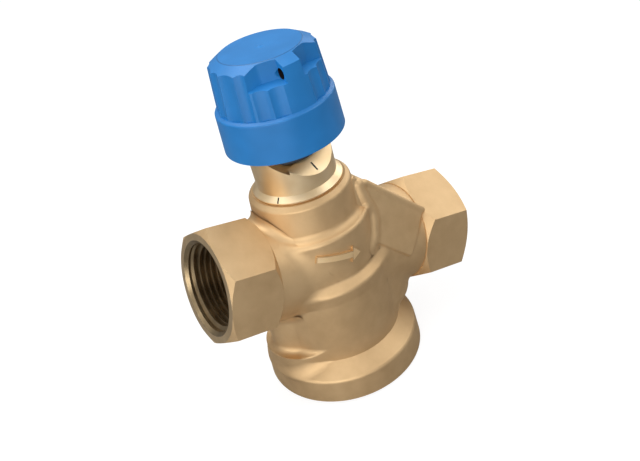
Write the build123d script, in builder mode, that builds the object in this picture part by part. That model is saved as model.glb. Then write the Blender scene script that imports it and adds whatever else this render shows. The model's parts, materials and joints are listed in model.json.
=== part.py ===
"""Pressure independent control valve, DN 25, with internally threaded hexagon ends.

Millimetres. The stem is the Z axis and the origin is the centre of the base's
underside. The inlet is on the left, towards -X, and the outlet on the right.
The pipe axis crosses the stem axis above the base and falls towards the outlet.
"""

from build123d import *
from math import cos, hypot, pi, radians, sin, tan
import os

# Pipe connections
pipe_height = 50.3
pipe_fall = 16.0
hexagon_width = 41.0
inlet_reach = 49.6
outlet_reach = 60.7
inlet_hexagon_length = 20.6
outlet_hexagon_length = 22.2
outer_chamfer_angle = 30.0
inner_chamfer_angle = 45.0
pipe_bore_radius = 16.65
pipe_thread_depth = 18.0
countersink_radius = 17.9
pipe_neck_radius = 20.2
neck_blend = 3.0

# Forged body, outside
base_radius = 32.6
base_height = 11.2
base_edge = 1.2
base_draft = 0.6
base_rounding = 2.0
shoulder_radius = 27.0
shoulder_height = 16.0
lower_barrel_radius = 26.0
lower_ledge_height = 46.0
lower_ledge_rise = 5.6
lower_ledge_rounding = 3.0
middle_barrel_radius = 23.6
upper_ledge_height = 70.8
upper_ledge_rounding = 1.8
boss_radius = 20.2
boss_top_radius = 19.4
boss_height = 84.9
boss_rim = 1.6
boss_blend = 3.0

# Lobes that carry the passages below the pipe
outlet_lobe_radius = 19.3
outlet_lobe_offset = 15.7
outlet_lobe_foot = 17.0
outlet_lobe_rounding = 7.0
inlet_lobe_radius = 17.0
inlet_lobe_offset = 15.0
inlet_lobe_height = 20.5
inlet_web_radius = 8.0
inlet_web_offset = 21.5

# Unmachined test-plug boss, a leaning wedge from the boss down to the outlet
wedge_slope = 46.9
wedge_crest = 68.1
wedge_depth = 18.6
wedge_end = -9.9
wedge_back = 6.0
wedge_front_normal = (0.132, -0.966, 0.227)
wedge_front = 33.2
wedge_rounding = 1.4

# Raised flow arrow on the middle barrel
arrow_length = 18.0
arrow_shaft_width = 2.8
arrow_head_width = 6.4
arrow_head_length = 4.2
arrow_proud = 0.8
arrow_offset = -3.4
arrow_height = 62.3

# Bores and chambers of the body
cover_bore_radius = 27.0
cover_bore_height = 9.5
controller_chamber_radius = 23.5
controller_chamber_top = 22.5
outlet_chamber_radius = 20.0
bridge_bottom = 45.5
bridge_top = 50.5
bridge_bore_radius = 11.0
bonnet_bore_radius = 14.0
inlet_passage_radius = 8.6
inlet_passage_height = 60.3
outlet_passage_radius = 8.4
outlet_passage_height = 36.8
impulse_channel_radius = 1.5
impulse_channel_offset = 26.3
impulse_channel_foot = 15.0

# Clearances
thread_clearance = 0.05
seal_clearance = 0.05
running_clearance = 0.06
free_clearance = 0.3

# Bottom cover
cover_recess = 1.2
cover_key_width = 12.0
cover_key_depth = 4.5
guide_boss_radius = 6.4
guide_boss_height = 17.0
guide_bush_radius = 4.5
cover_o_ring_section = 0.95

# Differential-pressure controller
controller_travel = 2.0
controller_stem_radius = 3.0
controller_stem_foot = 11.0
cone_radius = 9.5
cone_wall = 1.5
cone_floor = 2.0
cone_foot = 27.0
membrane_thickness = 1.0
membrane_plate_thickness = 2.0
membrane_plate_radius = 16.5
membrane_bead_radius = 21.0
membrane_wall_radius = 18.6
membrane_foot = 20.0
clamp_ring_bore_radius = 20.0
membrane_nut_width = 12.0
membrane_nut_height = 3.0
clamp_ring_height = 3.0
controller_spring_radius = 12.8
controller_spring_wire = 1.0
controller_spring_turns = 4.5

# Seats
seat_bore_radius = 7.5
seat_flange_radius = 13.0
seat_flange_thickness = 1.5
seat_lip_height = 0.6
seat_lip_width = 0.8
controller_seat_thickness = 1.5

# Control plug and spindle
valve_stroke = 4.5
plug_seal_radius = 9.3
plug_seal_thickness = 2.0
plug_nose_radius = 6.4
plug_nose_length = 4.0
plug_neck_radius = 5.0
plug_head_thickness = 3.0
spindle_radius = 3.0
spindle_top = 118.0
spring_collar_radius = 5.2
spring_collar_thickness = 1.2
spring_collar_height = 96.0
clip_radius = 4.2
clip_thickness = 0.8
clip_groove_depth = 0.6
clip_opening = 3.6
return_spring_radius = 4.4
return_spring_wire = 0.55
return_spring_turns = 8.5

# Flow-setting drum
drum_radius = 13.6
drum_wall = 1.6
drum_roof_height = 66.0
drum_roof_thickness = 4.0
drum_tube_radius = 8.0
drum_tube_bore = 5.6
drum_window_width = 16.0
drum_window_margin = 2.4
dial_radius = 11.7
dial_bottom = 98.3
dial_top = 100.8
drum_o_ring_height = 80.0
drum_o_ring_section = 0.8

# Bonnet
bonnet_foot = 71.5
collar_radius = 17.0
collar_edge_height = 0.9
collar_undercut = 0.5
bonnet_lead = 0.8
window_lintel = 0.6
collar_top = 87.6
neck_radius = 15.1
cap_thread_foot = 102.0
cap_thread_radius = 15.0
bonnet_top = 112.0
dial_bore_radius = 12.0
dial_floor = 98.0
milled_flat_azimuth = -78.0
milled_flat_low = 92.3
milled_flat_tilt = 53.0
bonnet_o_ring_height = 75.5
bonnet_o_ring_section = 0.95
gland_foot = 101.2
gland_slot_width = 2.4
gland_slot_depth = 1.6
spindle_o_ring_height = 106.5
spindle_o_ring_section = 0.9

# Protective and shut-off cap
skirt_foot = 104.55
skirt_radius = 22.0
skirt_top_radius = 21.3
skirt_top = 118.8
skirt_shoulder_rise = 0.7
skirt_rounding = 0.8
skirt_wall = 1.9
grip_radius = 20.1
grip_top_radius = 18.8
grip_top = 134.9
disc_radius = 14.5
cap_height = 137.3
cap_sleeve_wall = 2.2
cap_sleeve_foot = 107.0
cap_thread_top = 124.0
cap_core_radius = 12.0
cap_roof = 3.0
thrust_boss_radius = 6.0
thrust_insert_radius = 4.2
thrust_insert_thickness = 2.4
flute_depth = 0.85
pocket_flute_angle = 16.0
pocket_corner = 3.0
pocket_far_wall = 11.7
pocket_near_back = 14.9
pocket_far_back = (9.2, 12.2)
rib_width = 6.6
ledge_height = 130.3
ledge_slope = 14.0
seal_hole_width = 3.6
seal_hole_height = 4.0
seal_hole_radius = 16.2
seal_hole_level = 132.2
gate_radius = 1.0
gate_height = 0.35

# Places that follow from the sizes above
pipe_direction = Vector(cos(radians(pipe_fall)), 0, -sin(radians(pipe_fall)))
pipe_up = Vector(sin(radians(pipe_fall)), 0, cos(radians(pipe_fall)))
hexagon_flat = hexagon_width / 2
hexagon_corner = hexagon_flat / cos(pi / 6)
cone_top = bridge_bottom - controller_seat_thickness - free_clearance - controller_travel
membrane_top = cone_foot - membrane_plate_thickness
membrane_bottom = membrane_top - membrane_thickness
cover_o_ring_height = (cover_recess + cover_bore_height) / 2
cover_bush_floor = controller_stem_foot - free_clearance
seat_lip_top = bridge_top + seat_flange_thickness + seat_lip_height
plug_seal_foot = seat_lip_top + free_clearance + valve_stroke
plug_seal_top = plug_seal_foot + plug_seal_thickness
plug_top = plug_seal_top + plug_head_thickness
clip_foot = spring_collar_height + spring_collar_thickness
stem_bore_radius = drum_tube_radius + free_clearance
grip_foot = skirt_top + skirt_shoulder_rise
cap_sleeve_radius = cap_thread_radius + running_clearance + cap_sleeve_wall
drum_foot = bridge_top + seat_flange_thickness + free_clearance
drum_tube_top = dial_top - free_clearance
spring_floor = drum_roof_height + drum_roof_thickness
thrust_face = spindle_top + thread_clearance
thrust_boss_foot = thrust_face + thrust_insert_thickness / 4
flat_outward = Vector(cos(radians(milled_flat_azimuth)), sin(radians(milled_flat_azimuth)), 0)
flat_point = flat_outward * neck_radius + Vector(0, 0, milled_flat_low)
flat_normal = flat_outward * cos(radians(milled_flat_tilt)) + Vector(0, 0, sin(radians(milled_flat_tilt)))


def pipe_plane(distance):
    """Plane across the pipe, the given distance from the stem towards the outlet."""
    centre = Vector(0, 0, pipe_height) + pipe_direction * distance
    return Plane(origin=centre, x_dir=(0, -1, 0), z_dir=pipe_direction)


def turned_ring(inner_radius, outer_radius, low, high, mode=Mode.ADD):
    """Ring about the stem with a rectangular section."""
    with BuildSketch(Plane.XZ) as section:
        with Locations(((inner_radius + outer_radius) / 2, (low + high) / 2)):
            Rectangle(outer_radius - inner_radius, high - low)
    revolve(section.sketch, axis=Axis.Z, mode=mode)


def turned_profile(*points, rounded=(), mode=Mode.ADD):
    """Turned form about the stem from an outline of radius and height, with some corners rounded."""
    with BuildSketch(Plane.XZ) as section:
        with BuildLine():
            Polyline(*points, close=True)
        make_face()
        for (radius, height), rounding in rounded:
            corners = section.vertices().sort_by(lambda v: hypot(v.X - radius, v.Y - height))
            fillet(corners[0], rounding)
    revolve(section.sketch, axis=Axis.Z, mode=mode)


def o_ring(bore_radius, height, section_radius):
    """Round-section ring that seals against a bore from inside it."""
    with BuildSketch(Plane.XZ) as section:
        with Locations((bore_radius - seal_clearance - section_radius, height)):
            Circle(section_radius)
    revolve(section.sketch, axis=Axis.Z)


def o_ring_groove(bore_radius, height, section_radius):
    """Groove for that ring, turned into the piece that carries it."""
    half_width = section_radius + seal_clearance
    floor_radius = bore_radius - 2 * half_width
    turned_ring(floor_radius, bore_radius, height - half_width, height + half_width, mode=Mode.SUBTRACT)


def coil_spring(mean_radius, wire_radius, low, high, turns):
    """Compression spring that stands between two heights."""
    rise = high - low - 2 * wire_radius
    start = Vector(mean_radius, 0, low + wire_radius)
    with BuildLine() as path:
        Helix(pitch=rise / turns, height=rise, radius=mean_radius, center=(0, 0, start.Z))
    with BuildSketch(Plane(origin=start, z_dir=path.line % 0)) as wire:
        Circle(wire_radius)
    sweep(wire.sketch, path=path.line, is_frenet=True)


def turned_solid(inner_radius, outer_radius, low, high):
    """The same ring as a part of its own, for use as a cutter."""
    with BuildPart() as ring:
        turned_ring(inner_radius, outer_radius, low, high)
    return ring.part


def flute(azimuth, width_angle):
    """Shallow hollow down the side of the cap's grip, leaning with its draft."""
    half_chord = grip_top_radius * sin(radians(width_angle / 2))
    ridge = grip_top_radius * cos(radians(width_angle / 2))
    sagitta = flute_depth - (grip_top_radius - ridge)
    radius = (half_chord**2 + sagitta**2) / (2 * sagitta)
    outward = Vector(cos(radians(azimuth)), sin(radians(azimuth)), 0)
    foot = outward * (ridge - sagitta + radius + grip_radius - grip_top_radius)
    lean = Vector(0, 0, grip_top - grip_foot) - outward * (grip_radius - grip_top_radius)
    with BuildSketch(Plane.XY.offset(grip_foot)) as hollow:
        with Locations((foot.X, foot.Y)):
            Circle(radius)
    extrude(hollow.sketch, amount=cap_height - grip_foot + grip_radius, dir=lean, mode=Mode.SUBTRACT)


def pocket_cutter(side, front):
    """Finger pocket beside a rib: open outwards, with a rounded inner corner and a sloping ledge."""
    reach = 2 * skirt_radius
    rib_side = rib_width / 2
    outward = Vector(side * cos(pi / 3), front * sin(pi / 3), 0)
    ledge_normal = outward * sin(radians(ledge_slope)) + Vector(0, 0, cos(radians(ledge_slope)))
    outline = (
        (rib_side, reach),
        (rib_side, pocket_near_back),
        pocket_far_back,
        (reach, pocket_far_wall),
        (reach, reach),
    )
    with BuildPart() as cutter:
        with BuildSketch(Plane.XY.offset(grip_foot)) as plan:
            with BuildLine():
                Polyline(*[(side * x, front * y) for x, y in outline], close=True)
            make_face()
            inner_corner = plan.vertices().sort_by(
                lambda v: hypot(v.X - side * pocket_far_back[0], v.Y - front * pocket_far_back[1])
            )
            fillet(inner_corner[0], pocket_corner)
        extrude(amount=reach)
        ledge = Plane(origin=outward * pocket_near_back + Vector(0, 0, ledge_height), z_dir=ledge_normal)
        split(bisect_by=ledge, keep=Keep.TOP)
    return cutter.part


def hexagon_end(outer_distance, inner_distance):
    """Spanner hexagon on the pipe axis, its corners turned away at both ends."""
    length = abs(inner_distance - outer_distance)
    corner = hexagon_corner - hexagon_flat
    outer_set = corner * tan(radians(outer_chamfer_angle))
    inner_set = corner * tan(radians(inner_chamfer_angle))
    low = min(outer_distance, inner_distance)
    if outer_distance < inner_distance:
        first_set, last_set = outer_set, inner_set
    else:
        first_set, last_set = inner_set, outer_set
    with BuildPart() as hexagon:
        with BuildSketch(pipe_plane(low)):
            RegularPolygon(hexagon_corner, 6, rotation=30)
        extrude(amount=length)
        with BuildSketch(Plane(origin=pipe_plane(low).origin, x_dir=pipe_direction, z_dir=(0, -1, 0))):
            with BuildLine():
                Polyline(
                    (0, 0),
                    (0, hexagon_flat),
                    (first_set, hexagon_corner),
                    (length - last_set, hexagon_corner),
                    (length, hexagon_flat),
                    (length, 0),
                    close=True,
                )
            make_face()
        revolve(axis=Axis(pipe_plane(low).origin, pipe_direction), mode=Mode.INTERSECT)
    return hexagon.part


def on_pipe_neck(edge):
    """Whether an edge is where the neck's round side meets the barrel."""
    middle = Vector(0, 0, pipe_height)
    for place in (0, 0.3, 0.6, 1):
        reach = edge.position_at(place) - middle
        along = reach.dot(pipe_direction)
        if abs((reach - pipe_direction * along).length - pipe_neck_radius) > 0.05:
            return False
        if not hexagon_width > along > -hexagon_width:
            return False
    return edge.geom_type not in (GeomType.LINE, GeomType.CIRCLE)


def on_boss_foot(edge):
    """Whether an edge is where the boss's round side meets the forms below it."""
    for place in (0, 0.3, 0.6, 1):
        point = edge.position_at(place)
        if abs(hypot(point.X, point.Y) - boss_radius) > 0.02 or point.Z > boss_height - 1:
            return False
    return edge.geom_type != GeomType.LINE


def forged_trunk():
    """Stepped barrel, pipe neck and boss, with the forging's blends between them."""
    with BuildPart() as trunk:
        turned_profile(
            (0, shoulder_height / 2),
            (lower_barrel_radius, shoulder_height / 2),
            (lower_barrel_radius, lower_ledge_height),
            (middle_barrel_radius, lower_ledge_height + lower_ledge_rise),
            (middle_barrel_radius, upper_ledge_height),
            (0, upper_ledge_height),
            rounded=(
                ((lower_barrel_radius, lower_ledge_height), lower_ledge_rounding),
                ((middle_barrel_radius, lower_ledge_height + lower_ledge_rise), lower_ledge_rounding),
                ((middle_barrel_radius, upper_ledge_height), upper_ledge_rounding),
            ),
        )
        with BuildSketch(pipe_plane(-inlet_reach + inlet_hexagon_length)):
            Circle(pipe_neck_radius)
        extrude(amount=inlet_reach - inlet_hexagon_length + outlet_reach - outlet_hexagon_length)
        fillet(trunk.edges().filter_by(on_pipe_neck), neck_blend)
        turned_ring(0, boss_radius, upper_ledge_height - 1, boss_height)
        fillet(trunk.edges().filter_by(on_boss_foot), boss_blend)
        turned_profile(
            (boss_radius, upper_ledge_height + boss_blend),
            (boss_top_radius, boss_height - boss_rim),
            (boss_top_radius - boss_rim, boss_height),
            (boss_radius, boss_height),
            rounded=(((boss_top_radius, boss_height - boss_rim), boss_rim),),
            mode=Mode.SUBTRACT,
        )
    return trunk.part


def outlet_lobe():
    """Upright lobe below the outlet, with a rounded foot."""
    with BuildPart() as lobe:
        with BuildSketch(Plane.XY.offset(outlet_lobe_foot)):
            with Locations((outlet_lobe_offset, 0)):
                Circle(outlet_lobe_radius)
        extrude(amount=bridge_bottom - outlet_lobe_foot)
        fillet(lobe.edges().group_by(Axis.Z)[0], outlet_lobe_rounding)
        split(bisect_by=Plane(origin=(0, 0, pipe_height), z_dir=pipe_up), keep=Keep.BOTTOM)
    return lobe.part


def flow_arrow():
    """Arrow along the pipe that stands proud of the middle barrel."""
    centre = (arrow_offset, 0, arrow_height)
    face = Plane(origin=centre, x_dir=pipe_direction, z_dir=(0, -1, 0))
    tail = -arrow_length / 2
    neck = arrow_length / 2 - arrow_head_length
    with BuildPart() as arrow:
        with BuildSketch(face):
            with BuildLine():
                Polyline(
                    (tail, -arrow_shaft_width / 2),
                    (neck, -arrow_shaft_width / 2),
                    (neck, -arrow_head_width / 2),
                    (arrow_length / 2, 0),
                    (neck, arrow_head_width / 2),
                    (neck, arrow_shaft_width / 2),
                    (tail, arrow_shaft_width / 2),
                    close=True,
                )
            make_face()
        extrude(amount=middle_barrel_radius + 2 * arrow_proud)
        turned_ring(
            middle_barrel_radius - arrow_proud,
            middle_barrel_radius + arrow_proud,
            lower_ledge_height,
            upper_ledge_height,
            mode=Mode.INTERSECT,
        )
    return arrow.part


def test_plug_wedge():
    """Leaning block that a test plug could be screwed into, left unmachined."""
    along = Vector(cos(radians(wedge_slope)), 0, -sin(radians(wedge_slope)))
    across = Vector(sin(radians(wedge_slope)), 0, cos(radians(wedge_slope)))
    section = Plane(origin=across * wedge_crest, x_dir=(0, -1, 0), z_dir=along)
    front_normal = Vector(wedge_front_normal).normalized()
    width = wedge_back + wedge_front
    with BuildPart() as wedge:
        with BuildSketch(section.offset(wedge_end)):
            with Locations((width / 2 - wedge_back, wedge_depth / 2)):
                Rectangle(width, wedge_depth)
        extrude(amount=-wedge_crest)
        split(bisect_by=Plane(origin=front_normal * wedge_front, z_dir=front_normal), keep=Keep.BOTTOM)
        fillet(wedge.edges().filter_by(lambda edge: edge.center().Y < -boss_rim), wedge_rounding)
        split(bisect_by=Plane.XY.offset(boss_height - 2 * boss_rim), keep=Keep.BOTTOM)
    return wedge.part


trunk = forged_trunk()
inlet_hexagon = hexagon_end(-inlet_reach, -inlet_reach + inlet_hexagon_length)
outlet_hexagon = hexagon_end(outlet_reach, outlet_reach - outlet_hexagon_length)
lobe = outlet_lobe()
wedge = test_plug_wedge()
arrow = flow_arrow()

# Forged brass body with its bores
with BuildPart() as valve_body:
    turned_profile(
        (0, 0),
        (base_radius - base_edge, 0),
        (base_radius, base_edge),
        (base_radius - base_draft, base_height),
        (shoulder_radius, shoulder_height),
        (lower_barrel_radius, shoulder_height + 1),
        (lower_barrel_radius, shoulder_height + 2),
        (0, shoulder_height + 2),
        rounded=(((base_radius - base_draft, base_height), base_rounding),),
    )
    with BuildSketch(Plane.XY.offset(base_height)):
        with Locations((-inlet_lobe_offset, 0)):
            Circle(inlet_lobe_radius)
    extrude(amount=inlet_lobe_height - base_height)
    with BuildSketch(Plane.XY.offset(base_height)):
        with Locations((-inlet_web_offset, 0)):
            Circle(inlet_web_radius)
    extrude(amount=pipe_height - base_height)
    add((trunk, inlet_hexagon, outlet_hexagon, lobe, wedge, arrow))
    turned_ring(0, cover_bore_radius, 0, cover_bore_height, mode=Mode.SUBTRACT)
    turned_ring(0, controller_chamber_radius, 0, controller_chamber_top, mode=Mode.SUBTRACT)
    turned_ring(0, outlet_chamber_radius, 0, bridge_bottom, mode=Mode.SUBTRACT)
    turned_ring(0, bridge_bore_radius, 0, bridge_top, mode=Mode.SUBTRACT)
    turned_ring(0, bonnet_bore_radius, bridge_top, boss_height, mode=Mode.SUBTRACT)
    with BuildSketch(pipe_plane(-inlet_reach)):
        Circle(pipe_bore_radius)
    extrude(amount=pipe_thread_depth, mode=Mode.SUBTRACT)
    with BuildSketch(pipe_plane(outlet_reach)):
        Circle(pipe_bore_radius)
    extrude(amount=-pipe_thread_depth, mode=Mode.SUBTRACT)
    with BuildSketch(pipe_plane(-inlet_reach)):
        Circle(countersink_radius)
    extrude(amount=countersink_radius - pipe_bore_radius, taper=45, mode=Mode.SUBTRACT)
    with BuildSketch(pipe_plane(outlet_reach)):
        Circle(countersink_radius)
    extrude(amount=-(countersink_radius - pipe_bore_radius), taper=45, mode=Mode.SUBTRACT)
    with BuildSketch(Plane.YZ.offset(-inlet_reach + pipe_thread_depth)):
        with Locations((0, inlet_passage_height)):
            Circle(inlet_passage_radius)
    extrude(amount=inlet_reach - pipe_thread_depth, mode=Mode.SUBTRACT)
    with BuildSketch(Plane.YZ.offset(outlet_reach - pipe_thread_depth)):
        with Locations((0, outlet_passage_height)):
            Circle(outlet_passage_radius)
    extrude(amount=-(outlet_reach - pipe_thread_depth), mode=Mode.SUBTRACT)
    with BuildSketch(Plane.XY.offset(impulse_channel_foot)):
        with Locations((-impulse_channel_offset, 0)):
            Circle(impulse_channel_radius)
    extrude(amount=inlet_passage_height - impulse_channel_foot, mode=Mode.SUBTRACT)
    with BuildSketch(Plane.YZ.offset(-impulse_channel_offset)):
        with Locations((0, impulse_channel_foot)):
            Circle(impulse_channel_radius)
    extrude(amount=impulse_channel_offset, mode=Mode.SUBTRACT)
valve_body.part.label = "valve_body"

# Cover screwed into the base, with the guide boss of the controller's stem
with BuildPart() as bottom_cover:
    turned_ring(0, cover_bore_radius - thread_clearance, cover_recess, cover_bore_height)
    turned_ring(0, guide_boss_radius, cover_recess, guide_boss_height)
    o_ring_groove(cover_bore_radius, cover_o_ring_height, cover_o_ring_section)
    with BuildSketch(Plane.XY.offset(cover_recess)):
        RegularPolygon(cover_key_width / 2, 6, major_radius=False)
    extrude(amount=cover_key_depth, mode=Mode.SUBTRACT)
    turned_ring(0, guide_bush_radius, cover_bush_floor, guide_boss_height, mode=Mode.SUBTRACT)
bottom_cover.part.label = "bottom_cover"

with BuildPart() as cover_o_ring:
    o_ring(cover_bore_radius, cover_o_ring_height, cover_o_ring_section)
cover_o_ring.part.label = "cover_o_ring"

# Plain bearing bush that guides the controller's stem
with BuildPart() as guide_bush:
    turned_ring(
        controller_stem_radius + running_clearance,
        guide_bush_radius,
        cover_bush_floor,
        guide_boss_height,
    )
guide_bush.part.label = "guide_bush"

# Threaded ring that clamps the membrane's bead against the body
with BuildPart() as membrane_clamp_ring:
    turned_ring(
        clamp_ring_bore_radius,
        controller_chamber_radius - thread_clearance,
        membrane_foot - seal_clearance - clamp_ring_height,
        membrane_foot - seal_clearance,
    )
membrane_clamp_ring.part.label = "membrane_clamp_ring"

# Rubber membrane shaped like a hat: flat web, upright wall, flange and bead
with BuildPart() as membrane:
    inner_wall = membrane_wall_radius - membrane_thickness
    rim_radius = controller_chamber_radius - seal_clearance
    turned_ring(controller_stem_radius, membrane_wall_radius, membrane_bottom, membrane_top)
    turned_ring(inner_wall, membrane_wall_radius, membrane_foot, membrane_top)
    turned_ring(inner_wall, rim_radius, membrane_foot, membrane_foot + membrane_thickness)
    turned_ring(membrane_bead_radius, rim_radius, membrane_foot, controller_chamber_top - seal_clearance)
membrane.part.label = "membrane"

# Hollow cone that throttles against the controller seat, with its stem
with BuildPart() as controller_cone:
    turned_profile(
        (0, controller_stem_foot),
        (controller_stem_radius, controller_stem_foot),
        (controller_stem_radius, cone_foot),
        (cone_radius, cone_foot),
        (cone_radius, cone_top),
        (cone_radius - cone_wall, cone_top),
        (cone_radius - cone_wall, cone_foot + cone_floor),
        (0, cone_foot + cone_floor),
    )
controller_cone.part.label = "controller_cone"

with BuildPart() as membrane_plate:
    turned_ring(controller_stem_radius, membrane_plate_radius, membrane_top, cone_foot)
membrane_plate.part.label = "membrane_plate"

with BuildPart() as membrane_nut:
    with BuildSketch(Plane.XY.offset(membrane_bottom - membrane_nut_height)):
        RegularPolygon(membrane_nut_width / 2, 6, major_radius=False)
        Circle(controller_stem_radius, mode=Mode.SUBTRACT)
    extrude(amount=membrane_nut_height)
membrane_nut.part.label = "membrane_nut"

with BuildPart() as controller_spring:
    coil_spring(
        controller_spring_radius,
        controller_spring_wire,
        cone_foot,
        bridge_bottom,
        controller_spring_turns,
    )
controller_spring.part.label = "controller_spring"

# Seat ring pressed into the bridge, with a rubber controller seat bonded below it
with BuildPart() as seat_ring:
    turned_profile(
        (seat_bore_radius, bridge_bottom),
        (bridge_bore_radius - thread_clearance, bridge_bottom),
        (bridge_bore_radius - thread_clearance, bridge_top),
        (seat_flange_radius, bridge_top),
        (seat_flange_radius, bridge_top + seat_flange_thickness),
        (seat_bore_radius + seat_lip_width, bridge_top + seat_flange_thickness),
        (seat_bore_radius + seat_lip_width, seat_lip_top),
        (seat_bore_radius, seat_lip_top),
    )
seat_ring.part.label = "seat_ring"

with BuildPart() as controller_seat:
    turned_ring(
        seat_bore_radius,
        bridge_bore_radius - thread_clearance,
        bridge_bottom - controller_seat_thickness,
        bridge_bottom,
    )
controller_seat.part.label = "controller_seat"

# Control plug on the spindle, with its seal washer held between nose and head
with BuildPart() as control_plug:
    turned_profile(
        (0, plug_seal_foot - plug_nose_length),
        (plug_nose_radius - 1, plug_seal_foot - plug_nose_length),
        (plug_nose_radius, plug_seal_foot),
        (plug_neck_radius, plug_seal_foot),
        (plug_neck_radius, plug_seal_top),
        (plug_seal_radius, plug_seal_top),
        (plug_seal_radius, plug_top - 1),
        (plug_seal_radius - 1, plug_top),
        (0, plug_top),
    )
    turned_ring(0, spindle_radius, plug_seal_foot, plug_top, mode=Mode.SUBTRACT)
control_plug.part.label = "control_plug"

with BuildPart() as plug_seal:
    turned_ring(plug_neck_radius, plug_seal_radius, plug_seal_foot, plug_seal_top)
plug_seal.part.label = "plug_seal"

# Steel spindle with a domed top and a groove for its retaining clip
with BuildPart() as spindle:
    turned_profile(
        (0, plug_seal_foot),
        (spindle_radius, plug_seal_foot),
        (spindle_radius, clip_foot),
        (spindle_radius - clip_groove_depth, clip_foot),
        (spindle_radius - clip_groove_depth, clip_foot + clip_thickness),
        (spindle_radius, clip_foot + clip_thickness),
        (spindle_radius, spindle_top - 1),
        (spindle_radius - 1, spindle_top),
        (0, spindle_top),
    )
spindle.part.label = "spindle"

with BuildPart() as spring_collar:
    turned_ring(spindle_radius, spring_collar_radius, spring_collar_height, clip_foot)
spring_collar.part.label = "spring_collar"

# Open clip that sits in the spindle's groove
with BuildPart() as retaining_clip:
    turned_ring(spindle_radius - clip_groove_depth, clip_radius, clip_foot, clip_foot + clip_thickness)
    with BuildSketch(Plane.XY.offset(clip_foot)):
        with Locations((clip_radius, 0)):
            Rectangle(2 * clip_radius, clip_opening)
    extrude(amount=clip_thickness, mode=Mode.SUBTRACT)
retaining_clip.part.label = "retaining_clip"

with BuildPart() as return_spring:
    coil_spring(
        return_spring_radius,
        return_spring_wire,
        spring_floor,
        spring_collar_height,
        return_spring_turns,
    )
return_spring.part.label = "return_spring"

# Flow-setting drum: a sleeve with a window round the plug, and a tube up to the dial
with BuildPart() as flow_setting_drum:
    turned_profile(
        (drum_radius - drum_wall, drum_foot),
        (drum_radius, drum_foot),
        (drum_radius, spring_floor),
        (drum_tube_radius, spring_floor),
        (drum_tube_radius, drum_tube_top),
        (drum_tube_bore, drum_tube_top),
        (drum_tube_bore, spring_floor),
        (spindle_radius + free_clearance, spring_floor),
        (spindle_radius + free_clearance, drum_roof_height),
        (drum_radius - drum_wall, drum_roof_height),
    )
    with BuildSketch(Plane.YZ):
        with Locations((0, (drum_foot + drum_roof_height) / 2)):
            Rectangle(drum_window_width, drum_roof_height - drum_foot - 2 * drum_window_margin)
    extrude(amount=-2 * drum_radius, mode=Mode.SUBTRACT)
    o_ring_groove(stem_bore_radius, drum_o_ring_height, drum_o_ring_section)
flow_setting_drum.part.label = "flow_setting_drum"

with BuildPart() as drum_o_ring:
    o_ring(stem_bore_radius, drum_o_ring_height, drum_o_ring_section)
drum_o_ring.part.label = "drum_o_ring"

# Plastic dial that turns with the drum and shows in the neck's window
with BuildPart() as setting_dial:
    turned_ring(drum_tube_radius, dial_radius, dial_bottom, dial_top)
    chamfer(setting_dial.edges().group_by(Axis.Z)[-1], free_clearance)
setting_dial.part.label = "setting_dial"

# Turned bonnet: threaded shank, collar, neck with its milled flat, and cap thread
with BuildPart() as bonnet:
    turned_profile(
        (stem_bore_radius, bonnet_foot),
        (bonnet_bore_radius - thread_clearance, bonnet_foot),
        (bonnet_bore_radius - thread_clearance, boss_height),
        (collar_radius - collar_undercut, boss_height),
        (collar_radius, boss_height + collar_undercut),
        (collar_radius, boss_height + collar_edge_height),
        (neck_radius, collar_top),
        (neck_radius, cap_thread_foot),
        (cap_thread_radius, cap_thread_foot),
        (cap_thread_radius, bonnet_top - bonnet_lead),
        (cap_thread_radius - bonnet_lead, bonnet_top),
        (dial_bore_radius, bonnet_top),
        (dial_bore_radius, dial_floor),
        (stem_bore_radius, dial_floor),
    )
    flat_plane = Plane(origin=flat_point, z_dir=flat_normal)
    window = turned_solid(0, 2 * neck_radius, milled_flat_low, cap_thread_foot - window_lintel)
    add(split(window, bisect_by=flat_plane, keep=Keep.TOP, mode=Mode.PRIVATE), mode=Mode.SUBTRACT)
    o_ring_groove(bonnet_bore_radius, bonnet_o_ring_height, bonnet_o_ring_section)
bonnet.part.label = "bonnet"

with BuildPart() as bonnet_o_ring:
    o_ring(bonnet_bore_radius, bonnet_o_ring_height, bonnet_o_ring_section)
bonnet_o_ring.part.label = "bonnet_o_ring"

# Gland nut that closes the bonnet and seals the spindle
with BuildPart() as gland_nut:
    turned_ring(spindle_radius + running_clearance, dial_bore_radius - thread_clearance, gland_foot, bonnet_top)
    turned_ring(
        spindle_radius,
        spindle_radius + 2 * (spindle_o_ring_section + seal_clearance),
        spindle_o_ring_height - spindle_o_ring_section - seal_clearance,
        spindle_o_ring_height + spindle_o_ring_section + seal_clearance,
        mode=Mode.SUBTRACT,
    )
    with BuildSketch(Plane.XY.offset(bonnet_top)):
        Rectangle(2 * dial_bore_radius, gland_slot_width)
    extrude(amount=-gland_slot_depth, mode=Mode.SUBTRACT)
gland_nut.part.label = "gland_nut"

with BuildPart() as spindle_o_ring:
    with BuildSketch(Plane.XZ):
        with Locations((spindle_radius + seal_clearance + spindle_o_ring_section, spindle_o_ring_height)):
            Circle(spindle_o_ring_section)
    revolve(axis=Axis.Z)
spindle_o_ring.part.label = "spindle_o_ring"

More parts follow.
